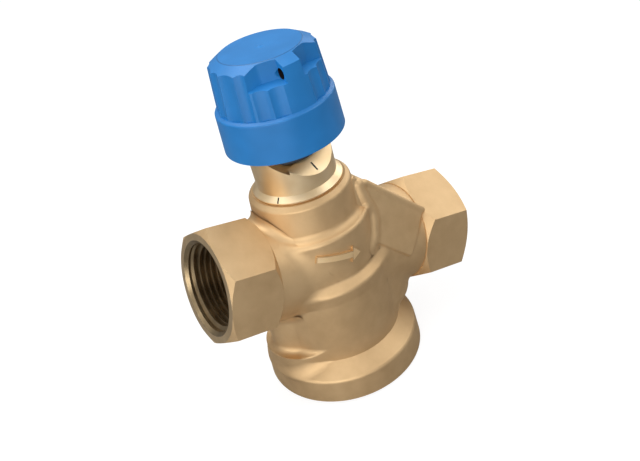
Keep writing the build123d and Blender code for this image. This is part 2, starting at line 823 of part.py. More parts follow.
# Moulded cap: fluted grip with scooped pockets, plain skirt, and a threaded sleeve
with BuildPart() as protective_cap:
    turned_profile(
        (0, skirt_foot),
        (skirt_radius, skirt_foot),
        (skirt_top_radius, skirt_top),
        (grip_radius, grip_foot),
        (grip_top_radius, grip_top),
        (disc_radius, cap_height),
        (0, cap_height),
        rounded=(((skirt_top_radius, skirt_top), skirt_rounding),),
    )
    for side in (0, 180):
        for middle, width in ((0, 16), (18.25, 20.5), (-18.25, 20.5), (35.25, 13.5), (-35.25, 13.5)):
            flute(side + middle, width)
    for side in (60, 120, 240, 300):
        for half in (-1, 1):
            flute(side + half * pocket_flute_angle / 2, pocket_flute_angle)
    for side in (-1, 1):
        for front in (-1, 1):
            add(pocket_cutter(side, front), mode=Mode.SUBTRACT)
    for side in (-1, 1):
        with BuildSketch(Plane.YZ):
            with Locations((side * seal_hole_radius, seal_hole_level)):
                Ellipse(seal_hole_width / 2, seal_hole_height / 2)
        extrude(amount=rib_width, both=True, mode=Mode.SUBTRACT)
    turned_ring(0, cap_thread_radius + running_clearance, skirt_foot, cap_thread_top, mode=Mode.SUBTRACT)
    turned_ring(0, cap_core_radius, skirt_foot, cap_height - cap_roof, mode=Mode.SUBTRACT)
    turned_profile(
        (cap_thread_radius + running_clearance, skirt_foot),
        (skirt_radius - skirt_wall, skirt_foot),
        (skirt_top_radius - skirt_wall, skirt_top - skirt_wall),
        (cap_sleeve_radius, skirt_top - skirt_wall),
        (cap_sleeve_radius, cap_sleeve_foot),
        (cap_thread_radius + running_clearance, cap_sleeve_foot),
        mode=Mode.SUBTRACT,
    )
    turned_ring(0, thrust_boss_radius, thrust_boss_foot, cap_height - cap_roof)
    turned_ring(0, thrust_insert_radius, thrust_face, thrust_face + thrust_insert_thickness, mode=Mode.SUBTRACT)
    turned_profile(
        (0, cap_height - gate_height),
        (gate_radius, cap_height - gate_height),
        (gate_radius, cap_height),
        (gate_radius / 2, cap_height + gate_height),
        (0, cap_height + gate_height),
    )
protective_cap.part.label = "protective_cap"

with BuildPart() as thrust_insert:
    turned_ring(0, thrust_insert_radius, thrust_face, thrust_face + thrust_insert_thickness)
thrust_insert.part.label = "thrust_insert"

pieces = (
    valve_body,
    bottom_cover,
    cover_o_ring,
    guide_bush,
    membrane_clamp_ring,
    membrane,
    controller_cone,
    membrane_plate,
    membrane_nut,
    controller_spring,
    seat_ring,
    controller_seat,
    control_plug,
    plug_seal,
    spindle,
    spring_collar,
    retaining_clip,
    return_spring,
    flow_setting_drum,
    drum_o_ring,
    setting_dial,
    bonnet,
    bonnet_o_ring,
    gland_nut,
    spindle_o_ring,
    protective_cap,
    thrust_insert,
)

os.makedirs("parts", exist_ok=True)
for piece in pieces:
    export_step(piece.part, f"parts/{piece.part.label}.step")
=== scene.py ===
"""Looks of the pressure independent control valve: finishes, blends, marks, light and camera."""

import functools
import json
import math

import bmesh
import bpy
import numpy as np
from mathutils import Matrix, Vector


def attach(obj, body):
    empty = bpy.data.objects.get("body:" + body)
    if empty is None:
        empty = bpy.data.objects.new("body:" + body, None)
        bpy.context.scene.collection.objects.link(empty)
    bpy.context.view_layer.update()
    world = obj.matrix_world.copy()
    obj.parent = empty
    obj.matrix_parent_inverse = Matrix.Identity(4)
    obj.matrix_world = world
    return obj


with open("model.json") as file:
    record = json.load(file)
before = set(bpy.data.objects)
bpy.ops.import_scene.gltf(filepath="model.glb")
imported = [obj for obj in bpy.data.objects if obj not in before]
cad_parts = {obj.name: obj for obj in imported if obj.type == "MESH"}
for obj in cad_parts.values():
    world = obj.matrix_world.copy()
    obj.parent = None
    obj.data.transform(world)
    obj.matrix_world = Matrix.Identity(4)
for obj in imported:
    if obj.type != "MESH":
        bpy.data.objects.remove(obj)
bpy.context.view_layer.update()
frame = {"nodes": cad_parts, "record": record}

MM = 0.001

# Sizes repeated from the part's source, in millimetres
PIPE_HEIGHT = 50.3
PIPE_FALL = math.radians(16.0)
INLET_REACH = 49.6
OUTLET_REACH = 60.7
INLET_NECK_END = -29.0
OUTLET_NECK_END = 38.5
PIPE_BORE = 16.65
PIPE_NECK = 20.2
PIPE_AXIS = np.array([math.cos(PIPE_FALL), 0, -math.sin(PIPE_FALL)])
PIPE_UP = np.array([math.sin(PIPE_FALL), 0, math.cos(PIPE_FALL)])
BONNET_NECK = 15.1
CAP_TOP = 137.3
SEAL_HOLE_SIDE = 16.2
SEAL_HOLE_HEIGHT = 132.2
RIB_HALF_WIDTH = 3.3
# Radius of the fine step round the cap's top, which the solid model lacks and the scene draws only as
# a ring of painted shade
CAP_STEP_RADIUS = 14.6


def linear(code):
    """Linear colour of an sRGB hex value."""
    parts = [int(code[i : i + 2], 16) / 255 for i in (1, 3, 5)]
    return [c / 12.92 if c <= 0.04045 else ((c + 0.055) / 1.055) ** 2.4 for c in parts] + [1]


def add_node(tree, kind, inputs=None, output=0, stops=(), **settings):
    """Output of a new node with its settings, colour stops, and inputs as numbers or outputs."""
    node = tree.nodes.new("ShaderNode" + kind)
    for name, value in settings.items():
        setattr(node, name, value)
    for name, value in (inputs or {}).items():
        if isinstance(value, bpy.types.NodeSocket):
            tree.links.new(value, node.inputs[name])
        else:
            node.inputs[name].default_value = value
    for index, (place, colour) in enumerate(stops):
        elements = node.color_ramp.elements
        element = elements[index] if index < 2 else elements.new(place)
        element.position = place
        element.color = linear(colour)
    return node.outputs[output] if node.outputs else None


def new_material(name):
    """Empty node material, and add_node for its tree."""
    material = bpy.data.materials.new(name)
    material.use_nodes = True
    material.node_tree.nodes.clear()
    return material, functools.partial(add_node, material.node_tree)


def along(add, direction, start=(0, 0, 0)):
    """Distance in metres along a direction, from a point of the object in millimetres."""
    place = add("TexCoord", output="Object")
    start = tuple(v * MM for v in start)
    offset = add("VectorMath", {0: place, 1: start}, operation="SUBTRACT")
    return add("VectorMath", {0: offset, 1: tuple(direction)}, "Value", operation="DOT_PRODUCT")


def machined_share(add):
    """1 in the thread bores, and 1 on all the cut faces: bores, hexagon mouths and underside."""
    distance = along(add, PIPE_AXIS, (0, 0, PIPE_HEIGHT))
    rise = along(add, PIPE_UP, (0, 0, PIPE_HEIGHT))
    depth = along(add, (0, 1, 0))
    depth_square = add("Math", {0: depth, 1: depth}, operation="MULTIPLY")
    square = add("Math", {0: rise, 1: rise, 2: depth_square}, operation="MULTIPLY_ADD")
    # Just outside the countersinks at the mouths
    in_bore = add("Math", {0: square, 1: (18.05 * MM) ** 2}, operation="LESS_THAN")
    at_inlet = add("Math", {0: distance, 1: (INLET_NECK_END - 1.0) * MM}, operation="LESS_THAN")
    at_outlet = add("Math", {0: distance, 1: OUTLET_NECK_END * MM}, operation="GREATER_THAN")
    at_ends = add("Math", {0: at_inlet, 1: at_outlet}, operation="MAXIMUM")
    bores = add("Math", {0: in_bore, 1: at_ends}, operation="MULTIPLY")
    inlet_end = (0.05 - INLET_REACH) * MM
    outlet_end = (OUTLET_REACH - 0.05) * MM
    at_inlet = add("Math", {0: distance, 1: inlet_end}, operation="LESS_THAN")
    at_outlet = add("Math", {0: distance, 1: outlet_end}, operation="GREATER_THAN")
    mouths = add("Math", {0: at_inlet, 1: at_outlet}, operation="MAXIMUM")
    underside = add("Math", {0: along(add, (0, 0, 1)), 1: 1.1 * MM}, operation="LESS_THAN")
    flat_faces = add("Math", {0: mouths, 1: underside}, operation="MAXIMUM")
    return bores, add("Math", {0: bores, 1: flat_faces}, operation="MAXIMUM")


def forged_brass(name, dark, middle, light, cut_faces):
    """Hot-stamped brass, tumbled and blasted: a tight matt grain with soft, cloudy toning."""
    material, add = new_material(name)
    place = add("TexCoord", output="Object")
    # Toning in clouds about 30 mm wide, with stains of about 6 mm in them
    clouds = add("TexNoise", {"Vector": place, "Scale": 1 / (30.0 * MM), "Detail": 2.0})
    stain = add(
        "TexNoise", {"Vector": place, "Scale": 1 / (6.0 * MM), "Detail": 4.0, "Roughness": 0.6}
    )
    clouds = add("Math", {0: clouds, 1: 0.55}, operation="MULTIPLY")
    toning = add("Math", {0: stain, 1: 0.45, 2: clouds}, operation="MULTIPLY_ADD")
    colour = add("ValToRGB", {"Fac": toning}, stops=((0.36, dark), (0.50, middle), (0.64, light)))
    # The blasting grit leaves dents of about 0.1 mm, drawn as 0.5 mm so that they show
    grit = add(
        "TexNoise", {"Vector": place, "Scale": 1 / (0.5 * MM), "Detail": 2.0, "Roughness": 0.6}
    )
    # The forging's faces wander a little, over about 9 mm
    swell = add("TexNoise", {"Vector": place, "Scale": 1 / (9.0 * MM), "Detail": 2.0})
    lumps = add("Bump", {"Height": swell, "Strength": 0.22, "Distance": 0.35 * MM})
    rough = add("MapRange", {"Value": stain, "To Min": 0.54, "To Max": 0.64})
    strength = 0.5
    if cut_faces:
        bores, cut = machined_share(add)
        clean = add("ValToRGB", {"Fac": stain}, stops=((0.35, "#D3B589"), (0.65, "#E0C499")))
        colour = add("Mix", {"Factor": cut, 6: colour, 7: clean}, 2, data_type="RGBA")
        # Painted shade: the thread bores are coloured darker, standing in for the shade deep inside
        # them
        painted_bore_shade = add("ValToRGB", {"Fac": stain}, stops=((0.35, "#8A785C"), (0.65, "#A08C6C")))
        colour = add("Mix", {"Factor": bores, 6: colour, 7: painted_bore_shade}, 2, data_type="RGBA")
        rough = add("Math", {0: cut, 1: -0.24, 2: rough}, operation="MULTIPLY_ADD")
        strength = add("Math", {0: cut, 1: -0.45, 2: 0.5}, operation="MULTIPLY_ADD")
    dents = add(
        "Bump", {"Height": grit, "Strength": strength, "Distance": 0.05 * MM, "Normal": lumps}
    )
    surface = add(
        "BsdfPrincipled",
        {"Base Color": colour, "Metallic": 1.0, "Roughness": rough, "Normal": dents},
    )
    add("OutputMaterial", {"Surface": surface})
    return material


def engraved(add, marks):
    """1 inside short engraved lines, each given by its middle, two directions and half sizes."""
    total = None
    for middle, line, side, half_length, half_width in marks:
        long_way = add("Math", {0: along(add, line, middle)}, operation="ABSOLUTE")
        long_way = add("Math", {0: long_way, 1: half_length * MM}, operation="LESS_THAN")
        short_way = add("Math", {0: along(add, side, middle)}, operation="ABSOLUTE")
        short_way = add("Math", {0: short_way, 1: half_width * MM}, operation="LESS_THAN")
        inside = add("Math", {0: long_way, 1: short_way}, operation="MULTIPLY")
        place = add("TexCoord", output="Object")
        middle = tuple(v * MM for v in middle)
        away = add("VectorMath", {0: place, 1: middle}, "Value", operation="DISTANCE")
        near = add("Math", {0: away, 1: (half_length + 0.6) * MM}, operation="LESS_THAN")
        inside = add("Math", {0: inside, 1: near}, operation="MULTIPLY")
        if total is None:
            total = inside
        else:
            total = add("Math", {0: total, 1: inside}, operation="MAXIMUM")
    return total


def turned_metal(name, dark, light, roughness, marks=()):
    """Turned metal: a close sheen with fine rings left by the tool, running round the stem."""
    material, add = new_material(name)
    place = add("TexCoord", output="Object")
    # Faint stains of about 9 mm, and a sheen that changes over about 6 mm
    stain = add("TexNoise", {"Vector": place, "Scale": 1 / (9.0 * MM), "Detail": 2.0})
    colour = add("ValToRGB", {"Fac": stain}, stops=((0.35, dark), (0.65, light)))
    sheen = add("TexNoise", {"Vector": place, "Scale": 1 / (6.0 * MM), "Detail": 1.0})
    rough = add(
        "MapRange", {"Value": sheen, "To Min": roughness - 0.03, "To Max": roughness + 0.03}
    )
    # Tool marks of about 0.1 mm feed, drawn 1.8 mm apart so that they show
    rings = add(
        "TexWave",
        {"Vector": place, "Scale": math.pi / 10 / (1.8 * MM), "Distortion": 0.3, "Detail": 1.0},
        "Fac",
        wave_type="BANDS",
        bands_direction="Z",
    )
    grooves = add("Bump", {"Height": rings, "Strength": 0.03, "Distance": 0.01 * MM})
    metallic = 1.0
    if marks:
        # Engraved marks are drawn as near-black, non-metallic lines on the surface, with no groove
        # cut
        dark_mark = engraved(add, marks)
        colour = add(
            "Mix", {"Factor": dark_mark, 6: colour, 7: linear("#1A1712")}, 2, data_type="RGBA"
        )
        rough = add("Math", {0: dark_mark, 1: 0.3, 2: rough}, operation="MULTIPLY_ADD")
        metallic = add("Math", {0: 1.0, 1: dark_mark}, operation="SUBTRACT")
    surface = add(
        "BsdfPrincipled",
        {"Base Color": colour, "Metallic": metallic, "Roughness": rough, "Normal": grooves},
    )
    add("OutputMaterial", {"Surface": surface})
    return material


def cap_places(add):
    """Where shade is painted: 1 inside the seal hole of the cap, and 1 on the fine step round its
    top.
    """
    across = along(add, (1, 0, 0))
    aside = along(add, (0, 1, 0))
    height = along(add, (0, 0, 1))
    # The hole is an ellipse of 3.6 by 4.0 mm through a rib, taken a little larger for its walls
    beside = add("Math", {0: aside}, operation="ABSOLUTE")
    beside = add("Math", {0: beside, 1: SEAL_HOLE_SIDE * MM}, operation="SUBTRACT")
    beside = add("Math", {0: beside, 1: 1.87 * MM}, operation="DIVIDE")
    above = add("Math", {0: height, 1: SEAL_HOLE_HEIGHT * MM}, operation="SUBTRACT")
    above = add("Math", {0: above, 1: 2.07 * MM}, operation="DIVIDE")
    above_square = add("Math", {0: above, 1: above}, operation="MULTIPLY")
    off = add("Math", {0: beside, 1: beside, 2: above_square}, operation="MULTIPLY_ADD")
    in_outline = add("Math", {0: off, 1: 1.0}, operation="LESS_THAN")
    depth = add("Math", {0: across}, operation="ABSOLUTE")
    in_rib = add("Math", {0: depth, 1: (RIB_HALF_WIDTH - 0.15) * MM}, operation="LESS_THAN")
    seal_hole_shade = add("Math", {0: in_outline, 1: in_rib}, operation="MULTIPLY")
    aside_square = add("Math", {0: aside, 1: aside}, operation="MULTIPLY")
    square = add("Math", {0: across, 1: across, 2: aside_square}, operation="MULTIPLY_ADD")
    radius = add("Math", {0: square}, operation="SQRT")
    gap = add("Math", {0: radius, 1: CAP_STEP_RADIUS * MM}, operation="SUBTRACT")
    gap = add("Math", {0: gap}, operation="ABSOLUTE")
    step_shade_ring = add("Math", {0: gap, 1: 0.16 * MM}, operation="LESS_THAN")
    on_top = add("Math", {0: height, 1: (CAP_TOP - 0.2) * MM}, operation="GREATER_THAN")
    return seal_hole_shade, add("Math", {0: step_shade_ring, 1: on_top}, operation="MULTIPLY")


def moulded(name, dark, light, roughness, texture_mm, depth_mm, cap=False):
    """Injection-moulded plastic or rubber with the fine even texture of its eroded mould."""
    material, add = new_material(name)
    place = add("TexCoord", output="Object")
    # Slow change of tone over about 14 mm, as the melt flowed
    flow = add("TexNoise", {"Vector": place, "Scale": 1 / (14.0 * MM), "Detail": 2.0})
    colour = add("ValToRGB", {"Fac": flow}, stops=((0.35, dark), (0.65, light)))
    if cap:
        # Painted shade: near black inside the seal hole, and a darker ring for the shallow step round
        # the top
        seal_hole_shade, step = cap_places(add)
        colour = add(
            "Mix", {"Factor": seal_hole_shade, 6: colour, 7: linear("#160D08")}, 2, data_type="RGBA"
        )
        # A thin darker blue ring is painted shade, standing in for the edge of the step
        colour = add(
            "Mix", {"Factor": step, 6: colour, 7: linear("#125E96")}, 2, data_type="RGBA"
        )
    # The eroded texture is about 0.05 mm, drawn as 0.35 or 0.4 mm so that it shows
    texture = add("TexNoise", {"Vector": place, "Scale": 1 / (texture_mm * MM), "Detail": 1.0})
    rough = add(
        "MapRange", {"Value": texture, "To Min": roughness - 0.04, "To Max": roughness + 0.05}
    )
    pits = add("Bump", {"Height": texture, "Strength": 0.3, "Distance": depth_mm * MM})
    surface = add(
        "BsdfPrincipled", {"Base Color": colour, "Roughness": rough, "IOR": 1.5, "Normal": pits}
    )
    add("OutputMaterial", {"Surface": surface})
    return material


def studio_floor():
    """White painted floor: white to the eye, darker to reflections, and dimmer in the shade."""
    material, add = new_material("studio_floor_white")
    eye = add("LightPath", output="Is Camera Ray")
    glass = add("LightPath", output="Is Transmission Ray")
    metal = add("LightPath", output="Is Glossy Ray")
    seen = add("Math", {0: eye, 1: glass}, operation="ADD")
    mirrored = add("Math", {0: metal, 1: 0.06}, operation="MULTIPLY")
    glow = add("Math", {0: seen, 1: 0.86, 2: mirrored}, operation="MULTIPLY_ADD")
    light = add("Emission", {"Color": linear("#FFFFFF"), "Strength": glow})
    paint = add("BsdfDiffuse", {"Color": linear("#7C7C7C")})
    add("OutputMaterial", {"Surface": add("AddShader", {0: light, 1: paint})})
    return material


def around(radius, azimuth, height):
    """Point about the stem from its radius, direction in degrees and height."""
    turn = math.radians(azimuth)
    return (radius * math.cos(turn), radius * math.sin(turn), height)


# Mark of the flow setting on the collar's cone, which rises 1.8 mm as it goes 1.9 mm inwards
CONE_AZIMUTH = -148.5
CONE_RUN = 1.9
CONE_RISE = 1.8
cone_turn = math.radians(CONE_AZIMUTH)
cone_in = (-math.cos(cone_turn) * CONE_RUN, -math.sin(cone_turn) * CONE_RUN)
cone_up = Vector((*cone_in, CONE_RISE)).normalized()
cone_side = (-math.sin(cone_turn), math.cos(cone_turn), 0)

# Flat milled on the bonnet's neck, with its own mark
FLAT_AZIMUTH = -78.0
FLAT_FOOT = 92.3
FLAT_TILT = math.radians(45.0)
flat_turn = math.radians(FLAT_AZIMUTH)
flat_out = np.array([math.cos(flat_turn), math.sin(flat_turn)])
flat_up = Vector((*(-flat_out * math.sin(FLAT_TILT)), math.cos(FLAT_TILT)))
flat_side = Vector((-flat_out[1], flat_out[0], 0))
flat_low = Vector(around(BONNET_NECK, FLAT_AZIMUTH, FLAT_FOOT))

# Middle, direction, sideways direction, half length and half width of each mark
bonnet_marks = (
    (around(16.1, CONE_AZIMUTH, 86.6), cone_up, cone_side, 1.1, 0.28),
    (tuple(flat_low + flat_up * 3.2 - flat_side * 1.3), flat_up, flat_side, 1.8, 0.34),
)

finishes = {
    # Blasted forging: warm, sandy and matt, cleaner and brighter where it is cut, with painted shade
    # in the thread bores
    "forged_brass": forged_brass("forged_brass_blasted", "#D2B286", "#D9BA8E", "#DFC195", True),
    # Turned bar: paler and brighter than the forging
    "turned_brass": turned_metal("turned_brass", "#EACD9F", "#F6DDB4", 0.42, bonnet_marks),
    # Turned stainless steel: neutral grey with a clear sheen
    "stainless_steel": turned_metal("turned_stainless_steel", "#A9ABAC", "#C2C4C4", 0.25),
    # Drawn stainless wire: a darker grey than the turned steel
    "spring_steel": turned_metal("drawn_spring_wire", "#8E9092", "#A5A7A8", 0.30),
    # EPDM rubber: near black and dull
    "rubber_seal": moulded("moulded_rubber", "#191919", "#222222", 0.55, 0.4, 0.02),
    # Dyed ABS: an even strong blue with a soft satin shine, with painted shade in the cap's seal hole
    # and at its top step
    "blue_plastic": moulded("moulded_blue_abs", "#1771B4", "#1D79BF", 0.44, 0.35, 0.02, True),
    # Acetal: milky white and smooth
    "white_plastic": moulded("moulded_acetal", "#DAD9D2", "#E4E3DC", 0.38, 0.4, 0.01),
    # Glass-filled PPS: charcoal with a dry satin skin
    "engineering_plastic": moulded(
        "moulded_glass_filled_plastic", "#27282A", "#303134", 0.45, 0.4, 0.02
    ),
}
# The arrow's face, coloured brighter than the rest: a painted highlight for the light its flat raised
# face catches
arrow_highlight_brass = forged_brass("forged_brass_painted_highlight", "#F7D5A2", "#FADCAC", "#FCE2B6", False)

for entry in frame["record"]["subparts"]:
    node = frame["nodes"][entry["node"]]
    node.data.materials.clear()
    node.data.materials.append(finishes[entry["material_slot"]])


def new_piece(name, points, faces, body, slot, material=None, smooth=True):
    """A scene piece from points in millimetres, in a slot's finish, riding on a CAD body."""
    data = bpy.data.meshes.new(name)
    places = [tuple(v * MM for v in point) for point in points]
    data.from_pydata(places, [], [tuple(face) for face in faces])
    data.update()
    for face in data.polygons:
        face.use_smooth = smooth
    piece = bpy.data.objects.new(name, data)
    bpy.context.scene.collection.objects.link(piece)
    data.materials.append(material or finishes[slot])
    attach(piece, body)
    return piece


def rounded_outline(corners):
    """Outline of radius and height, with each corner that has a rounding turned into an arc."""
    points = []
    for index, (x, y, rounding) in enumerate(corners):
        here = np.array([x, y], float)
        if rounding == 0:
            points.append(here)
            continue
        before = np.array(corners[index - 1][:2], float) - here
        after = np.array(corners[(index + 1) % len(corners)][:2], float) - here
        before /= np.linalg.norm(before)
        after /= np.linalg.norm(after)
        half = math.acos(np.clip(before @ after, -1, 1)) / 2
        inward = (before + after) / np.linalg.norm(before + after)
        middle = here + inward * rounding / math.sin(half)
        start = here + before * rounding / math.tan(half) - middle
        end = here + after * rounding / math.tan(half) - middle
        for step in range(9):
            leg = start * (1 - step / 8) + end * step / 8
            points.append(middle + leg / np.linalg.norm(leg) * rounding)
    return np.array(points)


def outline_distance(outline, x, y):
    """Signed distance of points to a closed outline, negative inside."""
    nearest = np.full(x.shape, 1e9)
    inside = np.zeros(x.shape, bool)
    for (x1, y1), (x2, y2) in zip(outline, np.roll(outline, -1, axis=0)):
        edge_x, edge_y = x2 - x1, y2 - y1
        share = np.clip(((x - x1) * edge_x + (y - y1) * edge_y) / (edge_x**2 + edge_y**2), 0, 1)
        gap = (x - x1 - share * edge_x) ** 2 + (y - y1 - share * edge_y) ** 2
        nearest = np.minimum(nearest, gap)
        if y1 != y2:
            crosses = ((y1 > y) != (y2 > y)) & (x < x1 + (y - y1) * edge_x / edge_y)
            inside ^= crosses
    return np.where(inside, -1, 1) * np.sqrt(nearest)


# The forging's turned form, as radius, height and rounding of each corner
FOOT_CORNERS = [
    (-5, 0, 0),
    (31.4, 0, 0),
    (32.6, 1.2, 0),
    (32.0, 11.2, 2.0),
    (27.0, 16.0, 0),
    (26.0, 17.0, 0),
]
BOSS_CORNERS = [(19.4, 83.3, 0), (17.8, 84.9, 0), (-5, 84.9, 0)]
plain_outline = rounded_outline(
    FOOT_CORNERS
    + [(26.0, 46.0, 3.0), (23.6, 51.6, 3.0), (23.6, 70.8, 1.8), (20.2, 70.8, 0)]
    + BOSS_CORNERS
)
# The same with the fuller lower ledge and the hollow at the boss's foot that the photograph shows
soft_outline = rounded_outline(
    FOOT_CORNERS
    + [(26.0, 43.5, 0), (26.5, 48.3, 1.8), (23.6, 51.6, 1.4), (23.6, 70.8, 1.8), (20.2, 70.8, 1.8)]
    + BOSS_CORNERS
)
CHART_STEP = 0.15
chart_r, chart_z = np.meshgrid(
    np.arange(0, 50, CHART_STEP), np.arange(-3, 92, CHART_STEP), indexing="ij"
)
plain_chart = outline_distance(plain_outline, chart_r, chart_z)
soft_chart = outline_distance(soft_outline, chart_r, chart_z)


def turned_distance(x, y, z, soft):
    """Distance to the turned form, read from its chart of radius and height."""
    chart = soft_chart if soft else plain_chart
    column = np.clip(np.hypot(x, y) / CHART_STEP, 0, chart.shape[0] - 1.001)
    row = np.clip((z + 3) / CHART_STEP, 0, chart.shape[1] - 1.001)
    i, j = column.astype(int), row.astype(int)
    s, t = column - i, row - j
    low = chart[i, j] * (1 - s) + chart[i + 1, j] * s
    high = chart[i, j + 1] * (1 - s) + chart[i + 1, j + 1] * s
    return low * (1 - t) + high * t


def joined(first, second, rounding):
    """Two forms as one, with a hollow of the given radius along the join."""
    corner = np.hypot(np.maximum(rounding - first, 0), np.maximum(rounding - second, 0))
    return np.maximum(rounding, np.minimum(first, second)) - corner


def shared(first, second, rounding):
    """What two forms share, with its edge rounded off."""
    corner = np.hypot(np.maximum(rounding + first, 0), np.maximum(rounding + second, 0))
    return np.minimum(-rounding, np.maximum(first, second)) + corner


def upright_drum(x, y, z, offset, radius, low, high, foot_rounding):
    """Distance to a short upright cylinder beside the stem, with a rounded foot."""
    side = np.hypot(x - offset, y) - radius
    return np.maximum(shared(side, low - z, foot_rounding), z - high)


# Offset, radius, foot, top and foot rounding of the drums that carry the passages
OUTLET_LOBE = (15.7, 19.3, 17.0, 60.0, 7.0)
INLET_LOBE = (-15.0, 17.0, 11.0, 20.5, 0.1)
INLET_WEB = (-21.5, 8.0, 11.0, 50.3, 0.1)


def pipe_neck(x, y, z):
    """Distance to the round neck between the two hexagons."""
    distance = x * PIPE_AXIS[0] + (z - PIPE_HEIGHT) * PIPE_AXIS[2]
    rise = x * PIPE_UP[0] + (z - PIPE_HEIGHT) * PIPE_UP[2]
    ends = np.maximum(INLET_NECK_END - distance, distance - OUTLET_NECK_END)
    return np.maximum(np.hypot(rise, y) - PIPE_NECK, ends)


# Leaning block: its slope, the direction its front faces, how far out its faces lie, and its limits
WEDGE_SLOPE = math.radians(46.9)
WEDGE_FRONT_NORMAL = np.array([0.132, -0.966, 0.227])
WEDGE_FRONT = 33.2
WEDGE_CREST = 68.1
WEDGE_FOOT = 49.5
WEDGE_END = 9.9
WEDGE_BACK = 6.0
WEDGE_TOP = 81.7
WEDGE_ROUNDING = 1.4


def test_wedge(x, y, z, soft):
    """Distance to the leaning block beside the boss."""
    across = x * math.sin(WEDGE_SLOPE) + z * math.cos(WEDGE_SLOPE)
    fall = x * math.cos(WEDGE_SLOPE) - z * math.sin(WEDGE_SLOPE)
    normal = WEDGE_FRONT_NORMAL / math.hypot(*WEDGE_FRONT_NORMAL)
    front = x * normal[0] + y * normal[1] + z * normal[2] - WEDGE_FRONT
    foot, end, foot_edge, end_edge = WEDGE_FOOT, WEDGE_END, WEDGE_ROUNDING, WEDGE_ROUNDING
    if soft:
        # The photograph's face leans out a little more towards its lower corner
        front = front + 0.0075 * (x - 18) + 0.0394 * (z - 66)
        foot, end, foot_edge, end_edge = WEDGE_FOOT - 0.6, WEDGE_END + 0.7, 0.8, 1.0
    block = shared(front, across - WEDGE_CREST, WEDGE_ROUNDING)
    block = shared(block, foot - across, foot_edge)
    block = shared(block, fall + end, end_edge)
    return np.maximum(np.maximum(block, y - WEDGE_BACK), z - WEDGE_TOP)


# Rounded ridge on the left of the leaning block, as points of its top sunk to its middle
RIDGE_TOP = (
    (17.0, -13.6, 78.6),
    (17.3, -14.6, 74.3),
    (18.0, -15.5, 70.0),
    (18.5, -16.3, 66.4),
    (17.6, -17.3, 62.6),
    (15.8, -18.4, 58.8),
    (13.0, -19.6, 55.4),
)
RIDGE = [np.array(point) - WEDGE_FRONT_NORMAL * 0.9 for point in RIDGE_TOP]
RIDGE_RADIUS = 2.0
# Rounded upper edge of the leaning block
CREST = ((20.0, -12.6, 77.6), (41.6, -15.1, 53.9))
CREST_RADIUS = 1.3


def bar(x, y, z, start, end, radius):
    """Distance to a round bar with domed ends."""
    start = np.array(start)
    run = np.array(end) - start
    reach = (x - start[0]) * run[0] + (y - start[1]) * run[1] + (z - start[2]) * run[2]
    share = np.clip(reach / (run @ run), 0, 1)
    gap_x = x - start[0] - run[0] * share
    gap_y = y - start[1] - run[1] * share
    gap_z = z - start[2] - run[2] * share
    return np.sqrt(gap_x**2 + gap_y**2 + gap_z**2) - radius


# Radius of the hollow along each join of the forging
NECK_HOLLOW = 3.0
WEDGE_HOLLOW = 0.7
CREST_HOLLOW = 0.8
RIDGE_HOLLOW = 1.6
OUTLET_LOBE_HOLLOW = 2.0
INLET_LOBE_HOLLOW = 3.0
INLET_WEB_HOLLOW = 3.0


def forging(x, y, z, soft):
    """Distance to the whole forging, with soft joins or with none but those of the solid model."""
    turned = turned_distance(x, y, z, soft)
    neck = pipe_neck(x, y, z)
    wedge = test_wedge(x, y, z, soft)
    above_axis = x * PIPE_UP[0] + (z - PIPE_HEIGHT) * PIPE_UP[2]
    lobe = np.maximum(upright_drum(x, y, z, *OUTLET_LOBE), above_axis)
    inlet_lobe = upright_drum(x, y, z, *INLET_LOBE)
    web = upright_drum(x, y, z, *INLET_WEB)
    trunk = joined(turned, neck, NECK_HOLLOW)
    if not soft:
        return np.minimum.reduce([trunk, wedge, lobe, inlet_lobe, web])
    ridge = np.minimum.reduce(
        [bar(x, y, z, start, end, RIDGE_RADIUS) for start, end in zip(RIDGE[:-1], RIDGE[1:])]
    )
    whole = joined(trunk, wedge, WEDGE_HOLLOW)
    whole = joined(whole, bar(x, y, z, *CREST, CREST_RADIUS), CREST_HOLLOW)
    whole = joined(whole, ridge, RIDGE_HOLLOW)
    whole = joined(whole, lobe, OUTLET_LOBE_HOLLOW)
    whole = joined(whole, inlet_lobe, INLET_LOBE_HOLLOW)
    return joined(whole, web, INLET_WEB_HOLLOW)


# Corners of the space that is searched for blends
BLEND_LOW = np.array([-34.0, -34.0, 9.0])
BLEND_HIGH = np.array([46.0, 34.0, 86.0])
# A blend is kept where it stands off the solid by more than this, and then lies this far outside
BLEND_LEAST = 0.002
BLEND_LIFT = 0.015
# Places covered whole, as the solid's faces meet there in clefts: the middle and reach of each
COVERED = (
    ((15.4, -21.0, 45.5), 6.0),
    ((-16.6, -14.5, 71.4), 4.5),
    ((-15.8, -17.2, 65.0), 5.5),
    ((-14.6, -19.3, 59.0), 6.0),
    ((-13.6, -20.7, 52.7), 6.5),
    ((-24.4, -10.9, 38.0), 5.0),
)


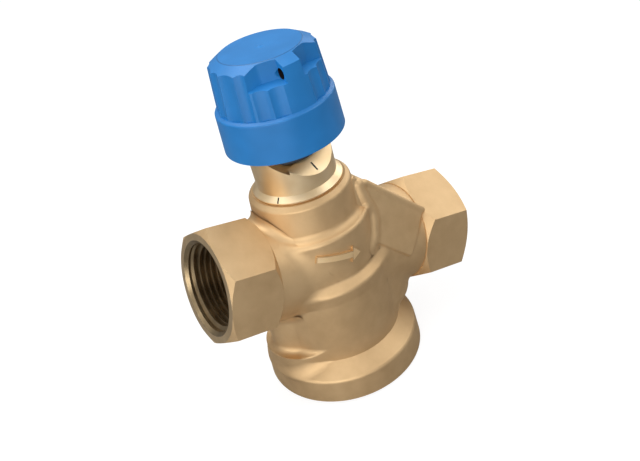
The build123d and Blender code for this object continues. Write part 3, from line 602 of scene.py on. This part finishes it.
def forging_blends(step=0.5):
    """Mesh of the soft joins alone, ending flush in the faces of the solid model."""
    counts = np.ceil((BLEND_HIGH - BLEND_LOW) / step).astype(int)
    axes = [BLEND_LOW[k] + step * np.arange(counts[k]) for k in range(3)]
    grid = np.meshgrid(*axes, indexing="ij")
    filled = forging(*grid, True) < 0
    corners = np.zeros(tuple(counts - 1), np.uint8)
    for shift in np.ndindex(2, 2, 2):
        corners += filled[tuple(slice(k, count - 1 + k) for k, count in zip(shift, counts))]
    crossed = (corners > 0) & (corners < 8)
    cells = np.argwhere(crossed)
    number = np.full(crossed.shape, -1)
    number[tuple(cells.T)] = np.arange(len(cells))
    points = BLEND_LOW + (cells + 0.5) * step

    def slope_at(places):
        """Slope of the soft forging's distance, from two readings along each axis."""
        small = 0.02
        sides = []
        for k in range(3):
            shift = np.zeros(3)
            shift[k] = small
            ahead = forging(*(places + shift).T, True)
            behind = forging(*(places - shift).T, True)
            sides.append((ahead - behind) / (2 * small))
        return np.stack(sides, axis=1)

    for _ in range(4):
        slope = slope_at(points)
        steep = np.maximum((slope**2).sum(axis=1), 0.05)
        move = -slope * (forging(*points.T, True) / steep)[:, None]
        points = points + np.clip(move, -step, step)
    slope = slope_at(points)
    normal = slope / np.maximum(np.linalg.norm(slope, axis=1), 1e-6)[:, None]
    soft = forging(*points.T, False) > BLEND_LEAST
    for place, reach in COVERED:
        soft |= np.linalg.norm(points - np.array(place), axis=1) < reach
    points = points + BLEND_LIFT * normal

    faces = []
    for k in range(3):
        a, b = [axis for axis in range(3) if axis != k]
        ahead = np.take(filled, np.arange(1, counts[k]), axis=k)
        behind = np.take(filled, np.arange(0, counts[k] - 1), axis=k)
        edges = np.argwhere(ahead != behind)
        inner = np.ones(len(edges), bool)
        for axis in (a, b):
            inner &= (edges[:, axis] > 0) & (edges[:, axis] < counts[axis] - 1)
        edges = edges[inner]
        ring = []
        for back_a, back_b in ((1, 1), (0, 1), (0, 0), (1, 0)):
            cell = edges.copy()
            cell[:, a] -= back_a
            cell[:, b] -= back_b
            ring.append(number[tuple(cell.T)])
        faces.append(np.stack(ring, axis=1))
    faces = np.concatenate(faces)
    faces = faces[(faces >= 0).all(axis=1)]
    faces = faces[soft[faces].any(axis=1)]
    corner = points[faces]
    facing = np.cross(corner[:, 2] - corner[:, 0], corner[:, 3] - corner[:, 1])
    turned_in = (facing * normal[faces].sum(axis=1)).sum(axis=1) < 0
    faces[turned_in] = faces[turned_in][:, ::-1]
    used, packed = np.unique(faces, return_inverse=True)
    return points[used].tolist(), packed.reshape(faces.shape).tolist()


new_piece("forging_blends", *forging_blends(), "valve_body", "forged_brass")


# Pipe thread, 11 to the inch with flanks 55 degrees apart, and the steps that draw a turn of it
THREAD_PITCH = 25.4 / 11
THREAD_LENGTH = 16.6
THREAD_DEPTH = 1.48
THREAD_CREST = 0.34
THREAD_FLANK = math.radians(55 / 2)
THREAD_START = 1.4
THREAD_STEPS = 72


def pipe_thread(mouth, inward):
    """Ridges of the internal pipe thread, from the mouth inward along the pipe."""
    half_crest = THREAD_CREST / 2
    half_root = half_crest + THREAD_DEPTH * math.tan(THREAD_FLANK)
    turns = (THREAD_LENGTH - THREAD_PITCH) / THREAD_PITCH
    points = []
    faces = []
    for step in range(int(turns * THREAD_STEPS) + 1):
        turn = step / THREAD_STEPS
        angle = 2 * math.pi * turn
        reach = THREAD_START + THREAD_PITCH * (turn + 0.5)
        # The ridge rises over its first third of a turn and runs out over its last
        rise = min(1.0, turn * 3, (turns - turn) * 3)
        outward = PIPE_UP * math.cos(angle) + np.array([0, 1, 0]) * math.sin(angle)
        root, crest = PIPE_BORE + 0.05, PIPE_BORE - THREAD_DEPTH * rise
        section = ((-half_root, root), (-half_crest, crest), (half_crest, crest), (half_root, root))
        for shift, radius in section:
            distance = mouth + inward * (reach + shift)
            points.append(np.array([0, 0, PIPE_HEIGHT]) + PIPE_AXIS * distance + outward * radius)
        if step:
            for k in range(3):
                first = 4 * (step - 1) + k
                face = (first, first + 1, first + 5, first + 4)
                faces.append(face if inward < 0 else face[::-1])
    return points, faces


for end, mouth, inward in (("inlet", -INLET_REACH, 1), ("outlet", OUTLET_REACH, -1)):
    ridges = pipe_thread(mouth, inward)
    new_piece(end + "_pipe_thread", *ridges, "valve_body", "forged_brass", smooth=False)


# Raised flow arrow: its middle, the radius of its face, and where the brighter-painted part of that
# face ends
ARROW_MIDDLE = np.array([-3.4, 0, 62.3])
ARROW_RADIUS = 24.45
ARROW_TAIL, ARROW_NECK, ARROW_POINT = -8.72, 5.08, 8.53
ARROW_HALF_SHAFT = 1.12
# Point of the arrow itself, how much its head narrows on each side per millimetre, and the inset of
# the brighter-painted part
ARROW_TIP = 9.0
ARROW_TAPER = 0.762
ARROW_INSET = 0.352


def arrow_face():
    """Face of the raised arrow, coloured brighter as a painted highlight, lying on the barrel's
    curve.
    """
    shaft = [(distance, ARROW_HALF_SHAFT) for distance in np.linspace(ARROW_TAIL, ARROW_NECK, 40)]
    head = [
        (distance, ARROW_TAPER * (ARROW_TIP - distance) - ARROW_INSET)
        for distance in np.linspace(ARROW_NECK, ARROW_POINT, 12)
    ]
    points = []
    faces = []
    for distance, half in shaft + head:
        for rise in (-half, half):
            place = ARROW_MIDDLE + PIPE_AXIS * distance + PIPE_UP * rise
            points.append((place[0], -math.sqrt(ARROW_RADIUS**2 - place[0] ** 2), place[2]))
    for first in range(0, len(points) - 2, 2):
        faces.append((first, first + 2, first + 3, first + 1))
    return points, faces


new_piece("flow_arrow_face", *arrow_face(), "valve_body", "forged_brass", arrow_highlight_brass)


def gate_mark(radius=1.9, height=0.33, steps=48):
    """Low dome left by the gate of the mould in the middle of the cap."""
    points = []
    for share in (1.0, 0.8, 0.5, 0.2):
        level = CAP_TOP - 0.02 + height * (1 - share**2)
        for step in range(steps):
            points.append(around(radius * share, 360 * step / steps, level))
    faces = [tuple(range(3 * steps, 4 * steps))]
    for ring in range(3):
        for step in range(steps):
            first, after = ring * steps + step, ring * steps + (step + 1) % steps
            faces.append((first, after, after + steps, first + steps))
    return points, faces


new_piece("cap_gate_mark", *gate_mark(), "cap", "blue_plastic")


# Height of the flat's edge under the cap, how far in it reaches, and its rise in the solid
FLAT_TOP = 97.9
FLAT_DEPTH = 5.6
FLAT_SOLID_SLOPE = 0.7536


def milled_flat():
    """Flat milled on the bonnet for the setting mark, with its upper edge under the cap."""
    slope = 1 / math.tan(FLAT_TILT)
    points = []
    faces = []
    for turn in np.linspace(-46, 46, 41):
        inset = BONNET_NECK * (1 - math.cos(math.radians(turn)))
        deep = max(FLAT_DEPTH - inset, 0)
        x, y, low = around(BONNET_NECK + 0.02, FLAT_AZIMUTH + turn, FLAT_FOOT - 0.1)
        points.append((x, y, low + inset * FLAT_SOLID_SLOPE))
        points.append((x, y, min(FLAT_FOOT + inset * slope, FLAT_TOP)))
        inner = np.array([x, y]) - deep * flat_out
        points.append((*inner, min(FLAT_FOOT + (inset + deep) * slope, FLAT_TOP)))
    for first in range(0, len(points) - 3, 3):
        faces.append((first, first + 3, first + 4, first + 1))
        faces.append((first + 1, first + 4, first + 5, first + 2))
    return points, faces


new_piece("milled_flat", *milled_flat(), "valve_body", "turned_brass", smooth=False)


def softbox(name, place, target, size, power):
    """Square softbox that faces a point."""
    lamp = bpy.data.lights.new(name, "AREA")
    lamp.size = size
    lamp.energy = power
    box = bpy.data.objects.new(name, lamp)
    box.location = place
    box.rotation_euler = (Vector(target) - Vector(place)).to_track_quat("-Z", "Y").to_euler()
    bpy.context.scene.collection.objects.link(box)


# Floor that the valve stands on
floor_mesh = bmesh.new()
bmesh.ops.create_circle(floor_mesh, cap_ends=True, radius=3.0, segments=96)
floor_data = bpy.data.meshes.new("floor")
floor_mesh.to_mesh(floor_data)
floor_mesh.free()
floor = bpy.data.objects.new("floor", floor_data)
floor.location.z = -0.02 * MM
bpy.context.scene.collection.objects.link(floor)
floor_data.materials.append(studio_floor())

# Soft studio: a world that is dim at the sides and bright overhead
world = bpy.data.worlds.new("studio")
bpy.context.scene.world = world
world.use_nodes = True
world.node_tree.nodes.clear()
add_to_sky = functools.partial(add_node, world.node_tree)
direction = add_to_sky("TexCoord", output="Generated")
height = add_to_sky("SeparateXYZ", {"Vector": direction}, "Z")
level = add_to_sky("MapRange", {"Value": height, "From Min": -0.1, "From Max": 0.9})
tone = add_to_sky(
    "ValToRGB",
    {"Fac": level},
    stops=((0.0, "#585858"), (0.14, "#8E8E8E"), (0.60, "#D8D8D8"), (1.0, "#F4F4F4")),
)
air = add_to_sky("Background", {"Color": tone, "Strength": 0.76})
# The eye sees plain white behind the valve, and reflections see mostly the studio
paper = add_to_sky("Background", {"Color": linear("#FFFFFF"), "Strength": 1.0})
eye = add_to_sky("LightPath", output="Is Camera Ray")
glass = add_to_sky("LightPath", output="Is Transmission Ray")
metal = add_to_sky("LightPath", output="Is Glossy Ray")
shown = add_to_sky("Math", {0: eye, 1: glass}, operation="ADD")
shown = add_to_sky("Math", {0: metal, 1: 0.05, 2: shown}, operation="MULTIPLY_ADD")
backdrop = add_to_sky("MixShader", {0: shown, 1: air, 2: paper})
add_to_sky("OutputWorld", {"Surface": backdrop})

softbox("overhead_softbox", (-0.20, 0.15, 0.9), (0, 0, 0.07), 0.7, 5.4)
softbox("left_softbox", (-0.9, -0.25, 0.1), (0, 0, 0.03), 0.4, 2.6)
softbox("right_softbox", (0.6, -0.5, 0.6), (0, 0, 0.07), 0.3, 1.5)
softbox("back_softbox", (0.95, 0.35, 0.45), (0, 0, 0.07), 0.6, 2.6)
softbox("front_softbox", (-0.6, -0.85, 0.12), (0, 0, 0.05), 0.7, 6.2)

# Camera as solved from the photograph
lens = bpy.data.cameras.new("camera")
lens.sensor_width = 36.0
lens.lens = 41.41
lens.clip_start = 0.01
camera = bpy.data.objects.new("camera", lens)
right = Vector((0.79416, -0.56425, -0.22570))
up = Vector((0.47877, 0.35217, 0.80421))
back = -Vector((0.37429, 0.74673, -0.54982))
turn = Matrix((right, up, back)).transposed().to_4x4()
camera.matrix_world = Matrix.Translation(Vector((-104.1, -214.0, 217.4)) * MM) @ turn
bpy.context.scene.collection.objects.link(camera)
bpy.context.scene.camera = camera
bpy.context.scene.view_settings.view_transform = "Standard"
